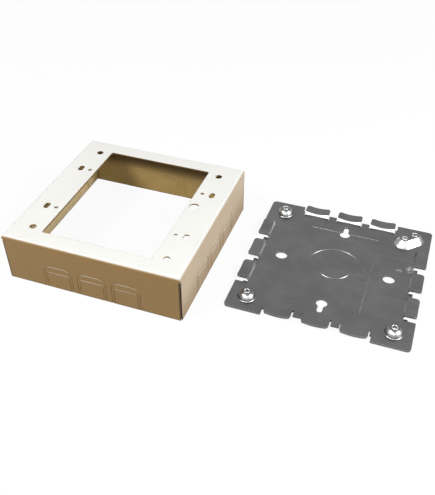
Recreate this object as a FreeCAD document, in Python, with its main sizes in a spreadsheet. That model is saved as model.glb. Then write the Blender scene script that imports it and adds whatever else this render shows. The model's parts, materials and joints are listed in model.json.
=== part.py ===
import FreeCAD, Part
import math
import os
import Sketcher

# Two-gang surface wiring box: a folded sheet cover with its device opening, taken off and lying
# beside its base plate. Each cover wall has twist-outs where a raceway enters, and the base plate
# has joggled tongues that hold the raceway ends, drawn screw bosses and nested knockouts.
# Frame: origin at the centre of the base plate's rear face, Z up from the wall, millimetres.

driving_sizes = [
    ("cover_size", 119.0, "cover outside, both ways"),
    ("cover_height", 34.0, "cover depth from wall edge to front face"),
    ("cover_sheet", 1.2, "cover sheet thickness"),
    ("cover_bend", 1.0, "inner bend radius round the front face"),
    ("opening_width", 74.2, "device opening along X"),
    ("opening_length", 96.6, "device opening along Y"),
    ("opening_corner", 1.5, "corner radius of the device opening"),
    ("screw_spacing", 90.5, "cover screws to base bosses, both ways"),
    ("screw_hole", 4.4, "clearance hole for a cover screw"),
    ("gang_pitch", 46.04, "from one gang to the next"),
    ("device_spacing", 83.34, "tapped device holes across the opening"),
    ("device_hole", 2.5, "tapped device hole, minor diameter"),
    ("plate_spacing", 96.84, "clearance slots across the opening"),
    ("plate_slot_width", 3.6, "clearance slot width"),
    ("plate_slot_length", 5.8, "clearance slot end to end"),
    ("side_hole", 6.2, "round hole beside the opening"),
    ("side_hole_across", 41.6, "round hole from the centre, along X"),
    ("side_hole_along", 8.0, "round hole from the centre, along Y"),
    ("seam_gap", 0.7, "open seam at each upright corner"),
    ("seam_head", 3.0, "seam's end below the front face"),
    ("relief_size", 1.1, "corner relief notch at the seam's end"),
    ("lap_length", 16.0, "lap tab along the side wall"),
    ("lap_clearance", 0.8, "lap tab's lower edge above the base plate"),
    ("lap_head", 4.0, "lap tab's upper edge below the front face"),
    ("raceway_pitch", 23.2, "from one twist-out or tongue to the next"),
    ("large_width", 19.0, "outer twist-out, for the larger raceway"),
    ("large_height", 17.0, "outer twist-out above the wall edge"),
    ("large_shoulder", 5.5, "outer twist-out shoulder radius"),
    ("arch_leg", 1.35, "outer twist-out beside the inner one"),
    ("arch_crown", 4.25, "outer twist-out above the inner one"),
    ("score_gap", 0.35, "cut line round a twist-out or knockout"),
    ("base_clearance", 1.5, "base plate edge to cover wall"),
    ("base_sheet", 1.4, "base sheet thickness"),
    ("base_corner", 2.6, "base plate corner radius"),
    ("land_inset", 5.0, "edge between tongues behind the corner edge"),
    ("land_end", 1.1, "from the last slit to the corner edge"),
    ("slit_inset", 8.9, "slit ends behind the corner edge"),
    ("slit_width", 0.6, "slit beside a tongue"),
    ("tongue_width", 16.8, "tongue across"),
    ("tongue_inset", 0.1, "tongue tip behind the corner edge"),
    ("tongue_flat", 0.4, "flat stretch before the joggle"),
    ("tongue_run", 1.2, "joggle along the tongue"),
    ("tongue_lift", 1.5, "joggle height"),
    ("tongue_curl", 34.0, "radius of the trough across a tongue"),
    ("tongue_corner", 2.2, "tongue tip corner radius"),
    ("boss_top", 2.4, "drawn boss flat top radius"),
    ("boss_foot", 5.5, "drawn boss foot radius"),
    ("boss_height", 4.6, "drawn boss above the plate"),
    ("boss_hole", 2.8, "tapped hole in a boss"),
    ("double_top", 3.0, "double boss flat top half width"),
    ("double_foot", 7.0, "double boss foot half width"),
    ("earth_offset", 8.2, "earth screw hole from its corner screw hole"),
    ("keyhole_spacing", 70.6, "between the round ends of the keyholes"),
    ("keyhole_round", 7.1, "round end of a keyhole"),
    ("keyhole_slot", 3.4, "narrow end of a keyhole"),
    ("keyhole_reach", 6.7, "from round end to narrow end"),
    ("oval_spacing", 71.0, "between the oblong wall screw holes"),
    ("oval_length", 7.7, "oblong wall screw hole end to end"),
    ("oval_width", 7.2, "oblong wall screw hole width"),
    ("panel_width", 46.0, "rectangular knockout along X"),
    ("panel_past", 1.0, "rectangular knockout past each keyhole centre"),
    ("ring_size", 34.9, "larger round knockout"),
    ("disc_size", 22.2, "smaller round knockout"),
    ("ring_drop", 0.35, "ring face below the plate face"),
    ("rest_gap", 18.7, "cover wall to base plate as they lie"),
    ("rest_back", 18.1, "cover centre from the base centre, along Y"),
]

doc = FreeCAD.newDocument("surface_wiring_box")
sheet = doc.addObject("Spreadsheet::Sheet", "Sizes")
for row, (alias, value, note) in enumerate(driving_sizes, start=1):
    sheet.set(f"A{row}", alias)
    sheet.set(f"B{row}", str(value))
    sheet.set(f"C{row}", note)
    sheet.setAlias(f"B{row}", alias)
doc.recompute()


class Size:
    # A number together with the expression that gives it from the sheet's cells.

    def __init__(self, value, text):
        self.value = value
        self.text = text

    def __add__(self, other):
        other = as_size(other)
        return Size(self.value + other.value, f"({self.text} + {other.text})")

    def __sub__(self, other):
        other = as_size(other)
        return Size(self.value - other.value, f"({self.text} - {other.text})")

    def __mul__(self, other):
        other = as_size(other)
        return Size(self.value * other.value, f"({self.text} * {other.text})")

    def __truediv__(self, other):
        other = as_size(other)
        return Size(self.value / other.value, f"({self.text} / {other.text})")

    def __neg__(self):
        return self * -1.0

    def root(self):
        return Size(math.sqrt(self.value), f"sqrt({self.text})")


def as_size(number):
    if isinstance(number, Size):
        return number
    return Size(float(number), repr(float(number)))


class Cells:
    # Each driving size by its alias.
    pass


size = Cells()
for entry in driving_sizes:
    alias = entry[0]
    setattr(size, alias, Size(float(sheet.get(alias)), f"Sizes.{alias}"))

# Sizes that follow from the driving ones
zero = as_size(0.0)
past_edge = size.cover_sheet * 4.0
cover_half = size.cover_size / 2.0
cover_inner = cover_half - size.cover_sheet
base_half = cover_inner - size.base_clearance
rest_across = -(cover_half + base_half + size.rest_gap)
rest_along = -size.rest_back
small_half = size.large_width / 2.0 - size.arch_leg - size.score_gap
small_height = size.large_height - size.arch_crown - size.score_gap
tongue_bend = base_half - size.slit_inset + size.tongue_flat
tongue_rise = tongue_bend + size.tongue_run
tongue_tip = base_half - size.tongue_inset
panel_half_x = size.panel_width / 2.0
panel_half_y = size.keyhole_spacing / 2.0 + size.panel_past


def bind(thing, prop, length):
    thing.setExpression(prop, as_size(length).text)


def new_body(name):
    body = doc.addObject("PartDesign::Body", name)
    body.Label = name
    return body


def new_sketch(body, name, plane, shift=(zero, zero, zero), turn_axis=None, turn=0.0):
    sketch = body.newObject("Sketcher::SketchObject", name)
    origin_plane = [item for item in body.Origin.OriginFeatures if item.Role == plane][0]
    sketch.AttachmentSupport = [(origin_plane, "")]
    sketch.MapMode = "FlatFace"
    place = FreeCAD.Placement()
    place.Base = FreeCAD.Vector(*[as_size(part).value for part in shift])
    if turn_axis is not None:
        place.Rotation = FreeCAD.Rotation(turn_axis, turn)
    sketch.AttachmentOffset = place
    for letter, part in zip("xyz", shift):
        bind(sketch, f"AttachmentOffset.Base.{letter}", part)
    return sketch


def hold(sketch, kind, *what):
    length = as_size(what[-1])
    index = sketch.addConstraint(Sketcher.Constraint(kind, *what[:-1], length.value))
    bind(sketch, f"Constraints[{index}]", length)


def circle_at(x, y, radius):
    return Part.Circle(FreeCAD.Vector(x, y, 0), FreeCAD.Vector(0, 0, 1), radius)


def draw_circle(sketch, x, y, radius):
    x, y, radius = as_size(x), as_size(y), as_size(radius)
    item = sketch.addGeometry(circle_at(x.value, y.value, radius.value))
    hold(sketch, "DistanceX", -1, 1, item, 3, x)
    hold(sketch, "DistanceY", -1, 1, item, 3, y)
    hold(sketch, "Radius", item, radius)


def draw_slot(sketch, x, y, straight, radius, along_y=False):
    # Two half circles about centres a straight length apart, joined by tangent lines.
    x, y, half, radius = as_size(x), as_size(y), as_size(straight) / 2.0, as_size(radius)
    step = (zero, half) if along_y else (half, zero)
    ends = [(x - step[0], y - step[1]), (x + step[0], y + step[1])]
    base_angle = math.pi / 2 if along_y else 0.0
    arcs = []
    for (end_x, end_y), start in zip(ends, (math.pi / 2, -math.pi / 2)):
        circle = circle_at(end_x.value, end_y.value, radius.value)
        arc = Part.ArcOfCircle(circle, base_angle + start, base_angle + start + math.pi)
        item = sketch.addGeometry(arc)
        hold(sketch, "DistanceX", -1, 1, item, 3, end_x)
        hold(sketch, "DistanceY", -1, 1, item, 3, end_y)
        arcs.append(item)
    for first, second in ((arcs[0], arcs[1]), (arcs[1], arcs[0])):
        start_point = sketch.getPoint(first, 2)
        end_point = sketch.getPoint(second, 1)
        line = sketch.addGeometry(Part.LineSegment(start_point, end_point))
        sketch.addConstraint(Sketcher.Constraint("Tangent", first, 2, line, 1))
        sketch.addConstraint(Sketcher.Constraint("Tangent", line, 2, second, 1))
    sketch.addConstraint(Sketcher.Constraint("Equal", arcs[0], arcs[1]))
    hold(sketch, "Radius", arcs[0], radius)


def draw_outline(sketch, corners):
    # Closed outline. Each corner is (x, y), or (x, y, radius, turn) where an arc runs on from it
    # to the next corner, counter-clockwise for turn 1 and clockwise for turn -1.
    spots = [FreeCAD.Vector(as_size(c[0]).value, as_size(c[1]).value, 0) for c in corners]
    ends = []
    for index, corner in enumerate(corners):
        start, finish = spots[index], spots[(index + 1) % len(spots)]
        if len(corner) == 2:
            ends.append((sketch.addGeometry(Part.LineSegment(start, finish)), 1, 2))
            continue
        radius, turn = as_size(corner[2]), corner[3]
        chord = finish - start
        rise = math.sqrt(max(radius.value ** 2 - (chord.Length / 2) ** 2, 0.0))
        side = FreeCAD.Vector(-chord.y, chord.x, 0).normalize() * turn
        centre = (start + finish) / 2 + side * rise
        first, last = (start, finish) if turn > 0 else (finish, start)
        from_angle = math.atan2(first.y - centre.y, first.x - centre.x)
        to_angle = math.atan2(last.y - centre.y, last.x - centre.x)
        if to_angle < from_angle:
            to_angle += 2 * math.pi
        circle = circle_at(centre.x, centre.y, radius.value)
        item = sketch.addGeometry(Part.ArcOfCircle(circle, from_angle, to_angle))
        ends.append((item, 1, 2) if turn > 0 else (item, 2, 1))
        hold(sketch, "Radius", item, radius)
    for index, corner in enumerate(corners):
        item, start, finish = ends[index]
        before = ends[index - 1]
        sketch.addConstraint(Sketcher.Constraint("Coincident", before[0], before[2], item, start))
        hold(sketch, "DistanceX", -1, 1, item, start, corner[0])
        hold(sketch, "DistanceY", -1, 1, item, start, corner[1])


def draw_box(sketch, low_x, low_y, high_x, high_y):
    draw_outline(sketch, [(low_x, low_y), (high_x, low_y), (high_x, high_y), (low_x, high_y)])


def add_pad(body, sketch, length, reverse=False):
    pad = body.newObject("PartDesign::Pad", f"{sketch.Name}_pad")
    pad.Profile = sketch
    pad.Reversed = reverse
    bind(pad, "Length", length)
    doc.recompute()
    return pad


def add_cut(body, sketch, length=None, reverse=False):
    # Through everything both ways, or a given length from the sketch. A cut has to take material.
    before = body.Shape.Volume
    cut = body.newObject("PartDesign::Pocket", f"{sketch.Name}_cut")
    cut.Profile = sketch
    if length is None:
        cut.Type = "ThroughAll"
        cut.SideType = "Symmetric"
    else:
        cut.Reversed = reverse
        bind(cut, "Length", length)
    doc.recompute()
    if body.Shape.Volume >= before:
        raise RuntimeError(f"{cut.Name} takes nothing away")
    return cut


def add_fillet(body, keep_edge, radius):
    base = body.Tip
    chosen = [f"Edge{i}" for i, edge in enumerate(base.Shape.Edges, start=1) if keep_edge(edge)]
    fillet = body.newObject("PartDesign::Fillet", f"{base.Name}_round")
    fillet.Base = (base, chosen)
    bind(fillet, "Radius", radius)
    doc.recompute()


def same(first, second):
    return abs(first - as_size(second).value) < 1e-4


def level_edge(edge, height):
    return same(edge.BoundBox.ZMin, height) and same(edge.BoundBox.ZMax, height)


def upright_edge(edge, half_width, half_length):
    box = edge.BoundBox
    upright = box.XLength < 1e-4 and box.YLength < 1e-4
    return upright and same(abs(box.XMin), half_width) and same(abs(box.YMin), half_length)


def both_signs(first, second):
    return [(first * sx, second * sy) for sx in (-1.0, 1.0) for sy in (-1.0, 1.0)]


# Outline shared by an outer twist-out and its window: straight sides, rounded shoulders, level top
def draw_shoulders(sketch, middle, low, width, height, shoulder):
    left, right = middle - width / 2.0, middle + width / 2.0
    draw_outline(sketch, [
        (left, low),
        (right, low),
        (right, height - shoulder, shoulder, 1),
        (right - shoulder, height),
        (left + shoulder, height, shoulder, 1),
        (left, height - shoulder),
    ])


# Cover shell, folded from one sheet
def make_cover():
    body = new_body("cover_shell")
    under_face = size.cover_height - size.cover_sheet

    outside = new_sketch(body, "cover_outside", "XY_Plane")
    draw_box(outside, -cover_half, -cover_half, cover_half, cover_half)
    add_pad(body, outside, size.cover_height)
    outer_bend = size.cover_bend + size.cover_sheet
    add_fillet(body, lambda edge: level_edge(edge, size.cover_height), outer_bend)

    inside = new_sketch(body, "cover_inside", "XY_Plane")
    draw_box(inside, -cover_inner, -cover_inner, cover_inner, cover_inner)
    add_cut(body, inside, under_face, reverse=True)
    add_fillet(body, lambda edge: level_edge(edge, under_face), size.cover_bend)

    half_open_x, half_open_y = size.opening_width / 2.0, size.opening_length / 2.0
    opening = new_sketch(body, "device_opening", "XY_Plane")
    draw_box(opening, -half_open_x, -half_open_y, half_open_x, half_open_y)
    add_cut(body, opening)
    add_fillet(body, lambda edge: upright_edge(edge, half_open_x, half_open_y), size.opening_corner)

    holes = new_sketch(body, "front_face_holes", "XY_Plane")
    for x, y in both_signs(size.screw_spacing / 2.0, size.screw_spacing / 2.0):
        draw_circle(holes, x, y, size.screw_hole / 2.0)
    for x, y in both_signs(size.device_spacing / 2.0, size.gang_pitch / 2.0):
        draw_circle(holes, x, y, size.device_hole / 2.0)
    for x, y in both_signs(size.plate_spacing / 2.0, size.gang_pitch / 2.0):
        straight = size.plate_slot_length - size.plate_slot_width
        draw_slot(holes, x, y, straight, size.plate_slot_width / 2.0, along_y=True)
    draw_circle(holes, size.side_hole_across, size.side_hole_along, size.side_hole / 2.0)
    add_cut(body, holes)

    lap_foot = size.base_sheet + size.lap_clearance
    lap_x, lap_y = cover_inner - size.cover_sheet, cover_inner - size.lap_length
    laps = new_sketch(body, "lap_tabs", "XY_Plane", (zero, zero, lap_foot))
    draw_box(laps, lap_x, lap_y, cover_inner, cover_inner)
    draw_box(laps, -cover_inner, lap_y, -lap_x, cover_inner)
    draw_box(laps, lap_x, -cover_inner, cover_inner, -lap_y)
    draw_box(laps, -cover_inner, -cover_inner, -lap_x, -lap_y)
    add_pad(body, laps, size.cover_height - size.lap_head - lap_foot)

    for plane in ("XZ_Plane", "YZ_Plane"):
        windows = new_sketch(body, f"raceway_windows_{plane[:2].lower()}", plane)
        for place in (-1.0, 0.0, 1.0):
            draw_shoulders(windows, size.raceway_pitch * place, -past_edge,
                           size.large_width + size.score_gap * 2.0,
                           size.large_height + size.score_gap,
                           size.large_shoulder + size.score_gap)
        add_cut(body, windows)

    seam_end = size.cover_height - size.seam_head
    cut_corners(body, "corner_seams", zero, size.seam_gap, seam_end)
    cut_corners(body, "corner_reliefs", seam_end - size.relief_size, size.relief_size, size.relief_size)
    place_on_cover(body, 0.0, zero)
    return body


# A narrow mitred cut through the sheet at each upright corner of the cover
def cut_corners(body, name, foot, gap, length):
    sketch = new_sketch(body, name, "XY_Plane", (zero, zero, foot))
    across = gap / math.sqrt(8.0)
    outside = cover_half + size.cover_sheet
    for sign_x, sign_y in ((1.0, 1.0), (-1.0, 1.0), (-1.0, -1.0), (1.0, -1.0)):
        draw_outline(sketch, [
            ((cover_inner - across) * sign_x, (cover_inner + across) * sign_y),
            ((cover_inner + across) * sign_x, (cover_inner - across) * sign_y),
            ((outside + across) * sign_x, (outside - across) * sign_y),
            ((outside - across) * sign_x, (outside + across) * sign_y),
        ])
    add_cut(body, sketch, length, reverse=True)


# Stand a piece on the cover, its local origin a given distance out from the cover's axis
def place_on_cover(body, turn, reach):
    body.Placement = FreeCAD.Placement(FreeCAD.Vector(), FreeCAD.Rotation(FreeCAD.Vector(0, 0, 1), turn))
    out_x = round(math.sin(math.radians(turn)))
    out_y = -round(math.cos(math.radians(turn)))
    bind(body, "Placement.Base.x", rest_across + reach * out_x)
    bind(body, "Placement.Base.y", rest_along + reach * out_y)


# One nested twist-out: an arch for the larger raceway and the blank inside it for the smaller one
def make_twistout(wall, turn, place):
    middle = size.raceway_pitch * (place - 2.0)
    name = f"twistout_{wall}_{place}"

    arch = new_body(f"{name}_arch")
    outline = new_sketch(arch, f"{name}_arch_outline", "XZ_Plane")
    draw_shoulders(outline, middle, zero,
                   size.large_width, size.large_height, size.large_shoulder)
    add_pad(arch, outline, size.cover_sheet, reverse=True)
    window = new_sketch(arch, f"{name}_arch_window", "XZ_Plane")
    window_half, window_top = small_half + size.score_gap, small_height + size.score_gap
    draw_box(window, middle - window_half, -past_edge, middle + window_half, window_top)
    add_cut(arch, window)

    blank = new_body(f"{name}_blank")
    inner = new_sketch(blank, f"{name}_blank_outline", "XZ_Plane")
    draw_box(inner, middle - small_half, zero, middle + small_half, small_height)
    add_pad(blank, inner, size.cover_sheet, reverse=True)

    for piece in (arch, blank):
        place_on_cover(piece, turn, cover_half)
    return [arch, blank]


# Base plate, pressed from one sheet
def make_base():
    body = new_body("base_plate")
    beyond = base_half + past_edge

    outline = new_sketch(body, "base_outline", "XY_Plane")
    draw_box(outline, -base_half, -base_half, base_half, base_half)
    add_pad(body, outline, size.base_sheet)
    add_fillet(body, lambda edge: upright_edge(edge, base_half, base_half), size.base_corner)

    # Edge recess, tongue windows and tongues on one side, all repeated round the plate
    window_half = size.tongue_width / 2.0 + size.slit_width
    zone_half = size.raceway_pitch + window_half + size.land_end
    land = new_sketch(body, "edge_recess", "XY_Plane")
    draw_box(land, -zone_half, base_half - size.land_inset, zone_half, beyond)
    recess = add_cut(body, land)
    slit_end = base_half - size.slit_inset
    windows = new_sketch(body, "tongue_windows", "XY_Plane")
    for place in (-1.0, 0.0, 1.0):
        middle = size.raceway_pitch * place
        draw_box(windows, middle - window_half, slit_end, middle + window_half, beyond)
    slits = add_cut(body, windows)
    joggles = [make_joggle(body, place) for place in (-1.0, 0.0, 1.0)]
    troughs = make_troughs(body)
    repeat_round(body, "edges_all_round", [recess, slits] + joggles + troughs, 360.0, 4)

    make_bosses(body)

    holes = new_sketch(body, "wall_screw_holes", "XY_Plane")
    for sign in (-1.0, 1.0):
        straight = size.oval_length - size.oval_width
        draw_slot(holes, size.oval_spacing / 2.0 * sign, zero, straight, size.oval_width / 2.0)
        draw_circle(holes, zero, size.keyhole_spacing / 2.0 * sign, size.keyhole_round / 2.0)
    add_cut(body, holes)
    narrow = new_sketch(body, "keyhole_slots", "XY_Plane")
    for sign in (-1.0, 1.0):
        middle = (size.keyhole_spacing + size.keyhole_reach) / 2.0 * sign
        draw_slot(narrow, zero, middle, size.keyhole_reach, size.keyhole_slot / 2.0, along_y=True)
    add_cut(body, narrow)

    window_x, window_y = panel_half_x + size.score_gap, panel_half_y + size.score_gap
    window = new_sketch(body, "panel_window", "XY_Plane")
    draw_box(window, -window_x, -window_y, window_x, window_y)
    add_cut(body, window)
    return body


def repeat_round(body, name, features, angle, count):
    pattern = body.newObject("PartDesign::PolarPattern", name)
    pattern.Originals = features
    pattern.Axis = ([item for item in body.Origin.OriginFeatures if item.Role == "Z_Axis"][0], [""])
    pattern.Angle = angle
    pattern.Occurrences = count
    body.Tip = pattern
    doc.recompute()


# The start of a tongue: flat where it leaves the plate, then joggled up into the trough
def make_joggle(body, place):
    middle, reach = size.raceway_pitch * place, size.tongue_width / 2.0
    number = int(place) + 2
    sections = []
    for station, along in (("root", base_half - size.slit_inset), ("bend", tongue_bend)):
        sketch = new_sketch(body, f"tongue_{number}_{station}", "XZ_Plane", (zero, zero, -along))
        draw_box(sketch, middle - reach, zero, middle + reach, size.base_sheet)
        sections.append(sketch)
    rise = new_sketch(body, f"tongue_{number}_rise", "XZ_Plane", (zero, zero, -tongue_rise))
    draw_trough(rise, middle, reach)
    loft = body.newObject("PartDesign::AdditiveLoft", f"tongue_{number}_joggle")
    loft.Profile = sections[0]
    loft.Sections = [sections[1], rise]
    loft.Ruled = True
    doc.recompute()
    return loft


# The lifted end of each tongue: a shallow trough across, its tip corners rounded
def make_troughs(body):
    reach, corner = size.tongue_width / 2.0, size.tongue_corner
    past = size.slit_width / 2.0
    section = new_sketch(body, "tongue_troughs", "XZ_Plane", (zero, zero, -tongue_rise))
    tips = new_sketch(body, "tongue_tip_corners", "XY_Plane")
    for place in (-1.0, 0.0, 1.0):
        middle = size.raceway_pitch * place
        draw_trough(section, middle, reach)
        for side, turn in ((1.0, -1), (-1.0, 1)):
            edge, beyond = middle + reach * side, middle + (reach + past) * side
            start = edge - corner * side
            draw_outline(tips, [
                (start, tongue_tip, corner, turn),
                (edge, tongue_tip - corner),
                (beyond, tongue_tip - corner),
                (beyond, tongue_tip + past),
                (start, tongue_tip + past),
            ])
    trough = add_pad(body, section, tongue_tip - tongue_rise, reverse=True)
    return [trough, add_cut(body, tips)]


# Cross section of a lifted tongue: one sheet thickness between two arcs about the same centre
def draw_trough(sketch, middle, reach):
    under_radius, face_radius = size.tongue_curl, size.tongue_curl - size.base_sheet
    centre = size.tongue_lift + size.tongue_curl
    under = centre - (under_radius * under_radius - reach * reach).root()
    face = centre - (face_radius * face_radius - reach * reach).root()
    draw_outline(sketch, [
        (middle - reach, under, under_radius, 1),
        (middle + reach, under),
        (middle + reach, face, face_radius, -1),
        (middle - reach, face),
    ])


# Half of a drawn boss in section: a round dome with a flat top, its inside tapered and then flared
def boss_section():
    foot, top, height = size.boss_foot, size.boss_top, size.boss_height
    below = (foot * foot - top * top - height * height) / (height * 2.0)
    dome = (foot * foot + below * below).root()
    inside = dome - size.base_sheet
    crown = size.base_sheet + height
    ceiling = crown - size.base_sheet
    centre = size.base_sheet - below
    inner_top = (inside * inside - (ceiling - centre) * (ceiling - centre)).root()
    outer = [(foot, size.base_sheet, dome, 1), (top, crown)]
    inner = [(inner_top, ceiling), (inside, centre), (foot, zero)]
    return outer, inner, crown


# Half of the double boss in section: a straight flank of one sheet thickness under a flat top
def double_section():
    foot, top, height = size.double_foot, size.double_top, size.boss_height
    crown = size.base_sheet + height
    lean = (foot - top) / height
    across = size.base_sheet * (lean * lean + 1.0).root()
    inner_top = top + lean * size.base_sheet - across
    inner_foot = foot + lean * size.base_sheet - across
    outer = [(foot, size.base_sheet), (top, crown)]
    inner = [(inner_top, height), (inner_foot, zero), (foot, zero)]
    return outer, inner, crown


# Outline of half a boss, closed along its axis
def to_axis(outer, inner, crown):
    return outer + [(zero, crown), (zero, crown - size.base_sheet)] + inner


def make_bosses(body):
    corner = size.screw_spacing / 2.0
    diagonal = corner * math.sqrt(2.0)
    up = FreeCAD.Vector(0, 1, 0)

    # The sheet is cleared where it is drawn up: three round bosses and one oblong double boss.
    rounds = new_sketch(body, "boss_feet", "XY_Plane")
    for sign_x, sign_y in ((-1.0, 1.0), (-1.0, -1.0), (1.0, -1.0)):
        draw_circle(rounds, corner * sign_x, corner * sign_y, size.boss_foot)
    add_cut(body, rounds)
    flat = FreeCAD.Vector(0, 0, 1)
    oblong = new_sketch(body, "double_boss_foot", "XY_Plane", turn_axis=flat, turn=45.0)
    draw_slot(oblong, diagonal - size.earth_offset / 2.0, zero, size.earth_offset, size.double_foot)
    add_cut(body, oblong)

    section = new_sketch(body, "boss_profile", "XZ_Plane", (-corner, zero, -corner))
    draw_outline(section, to_axis(*boss_section()))
    boss = turn_section(body, section, 360.0)
    repeat_round(body, "round_bosses", [boss], 180.0, 3)

    outer, inner, crown = double_section()
    earth = corner - size.earth_offset / math.sqrt(2.0)
    for name, spot, turn in (("corner", corner, -45.0), ("earth", earth, 135.0)):
        section = new_sketch(body, f"double_boss_{name}", "XZ_Plane", (spot, zero, -spot), up, turn)
        draw_outline(section, to_axis(outer, inner, crown))
        turn_section(body, section, 180.0)

    bridge = new_sketch(body, "double_boss_bridge", "XZ_Plane", (corner, zero, -corner), up, -45.0)
    draw_outline(bridge, mirrored_section(outer, inner))
    add_pad(body, bridge, size.earth_offset)

    holes = new_sketch(body, "boss_holes", "XY_Plane")
    for x, y in both_signs(corner, corner) + [(earth, earth)]:
        draw_circle(holes, x, y, size.boss_hole / 2.0)
    add_cut(body, holes)


# The boss section on both sides of its axis, for the straight middle of the double boss
def mirrored_section(outer, inner):
    return outer + flipped(outer) + flipped(inner) + inner


# The same stretch of outline on the other side of the axis, walked backwards
def flipped(corners):
    other_side = []
    for index in range(len(corners) - 1, -1, -1):
        arc = corners[index - 1][2:] if index > 0 else ()
        other_side.append((-corners[index][0], corners[index][1]) + arc)
    return other_side


def turn_section(body, sketch, angle):
    turned = body.newObject("PartDesign::Revolution", f"{sketch.Name}_turned")
    turned.Profile = sketch
    turned.ReferenceAxis = (sketch, ["V_Axis"])
    turned.Angle = angle
    doc.recompute()
    return turned


# Rectangular knockout: a panel that takes half of each keyhole's round end with it
def make_panel():
    body = new_body("base_knockout_panel")
    outline = new_sketch(body, "panel_outline", "XY_Plane")
    draw_box(outline, -panel_half_x, -panel_half_y, panel_half_x, panel_half_y)
    add_pad(body, outline, size.base_sheet)
    holes = new_sketch(body, "panel_holes", "XY_Plane")
    draw_circle(holes, zero, zero, size.ring_size / 2.0 + size.score_gap)
    for sign in (-1.0, 1.0):
        draw_circle(holes, zero, size.keyhole_spacing / 2.0 * sign, size.keyhole_round / 2.0)
    add_cut(body, holes)
    return body


# Round knockouts inside the panel: a ring pressed thinner than the plate, and the disc inside it
def make_rings():
    ring = new_body("base_knockout_ring")
    outline = new_sketch(ring, "ring_outline", "XY_Plane")
    draw_circle(outline, zero, zero, size.ring_size / 2.0)
    draw_circle(outline, zero, zero, size.disc_size / 2.0 + size.score_gap)
    add_pad(ring, outline, size.base_sheet - size.ring_drop)

    disc = new_body("base_knockout_disc")
    face = new_sketch(disc, "disc_outline", "XY_Plane")
    draw_circle(face, zero, zero, size.disc_size / 2.0)
    add_pad(disc, face, size.base_sheet)
    return [ring, disc]


walls = [("front", 0.0), ("right", 90.0), ("back", 180.0), ("left", 270.0)]

pieces = [make_base(), make_panel()] + make_rings() + [make_cover()]
for wall, turn in walls:
    for place in (1, 2, 3):
        pieces += make_twistout(wall, turn, place)
doc.recompute()

for item in doc.Objects:
    if "Invalid" in item.State or "Error" in item.State:
        raise RuntimeError(f"{item.Name} failed: {item.State}")
for piece in pieces:
    shape = piece.Shape
    if shape.isNull() or not shape.isValid() or len(shape.Solids) != 1:
        raise RuntimeError(f"{piece.Label} is not one sound solid")

os.makedirs("parts", exist_ok=True)
for piece in pieces:
    piece.Shape.exportStep(f"parts/{piece.Label}.step")
    print(piece.Label, round(piece.Shape.Volume, 2))
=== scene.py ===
import json
import math

import bmesh
import bpy
from mathutils import Matrix, Vector

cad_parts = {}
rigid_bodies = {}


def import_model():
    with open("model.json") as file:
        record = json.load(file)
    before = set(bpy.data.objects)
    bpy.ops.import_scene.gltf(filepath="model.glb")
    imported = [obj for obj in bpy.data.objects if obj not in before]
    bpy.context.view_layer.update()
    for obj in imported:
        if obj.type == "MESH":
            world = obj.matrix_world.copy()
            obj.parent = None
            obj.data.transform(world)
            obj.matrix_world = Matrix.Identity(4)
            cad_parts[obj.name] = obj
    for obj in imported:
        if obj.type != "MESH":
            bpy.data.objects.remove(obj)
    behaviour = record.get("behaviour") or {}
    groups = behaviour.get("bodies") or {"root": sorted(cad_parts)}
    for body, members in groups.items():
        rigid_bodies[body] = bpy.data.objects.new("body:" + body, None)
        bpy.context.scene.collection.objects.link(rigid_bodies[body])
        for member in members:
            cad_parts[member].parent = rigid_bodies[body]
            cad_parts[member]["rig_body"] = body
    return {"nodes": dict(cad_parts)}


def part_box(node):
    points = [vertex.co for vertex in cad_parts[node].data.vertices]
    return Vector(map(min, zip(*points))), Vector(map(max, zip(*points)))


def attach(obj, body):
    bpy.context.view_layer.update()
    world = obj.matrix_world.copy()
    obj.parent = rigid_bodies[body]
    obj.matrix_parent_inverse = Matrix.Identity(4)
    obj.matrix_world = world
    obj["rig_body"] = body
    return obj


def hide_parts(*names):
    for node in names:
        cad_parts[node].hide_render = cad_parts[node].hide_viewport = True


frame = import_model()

# Two-gang surface wiring box: a cream painted cover lying beside its zinc coated base plate.
# Everything is in metres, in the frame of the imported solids.

mm = 0.001
nodes = frame["nodes"]
scene = bpy.context.scene
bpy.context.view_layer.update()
print("frame loaded:", len(nodes), "nodes")

# Places on the box that several finishes and details share
layout = {
    "coverCentre": (-135.0 * mm, -18.1 * mm),
    "coverHalf": 59.5 * mm,
    "coverTop": 34.0 * mm,
    "plateTop": 1.4 * mm,
    "bossCrown": 6.0 * mm,
    "bossSpots": [(-45.25 * mm, 45.25 * mm), (-45.25 * mm, -45.25 * mm), (45.25 * mm, -45.25 * mm),
                  (45.25 * mm, 45.25 * mm), (39.45 * mm, 39.45 * mm)],
    "racewayPitch": 23.2 * mm,
    "walls": {"front": 0.0, "right": 90.0, "back": 180.0, "left": 270.0},   # degrees about Z
}


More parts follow.
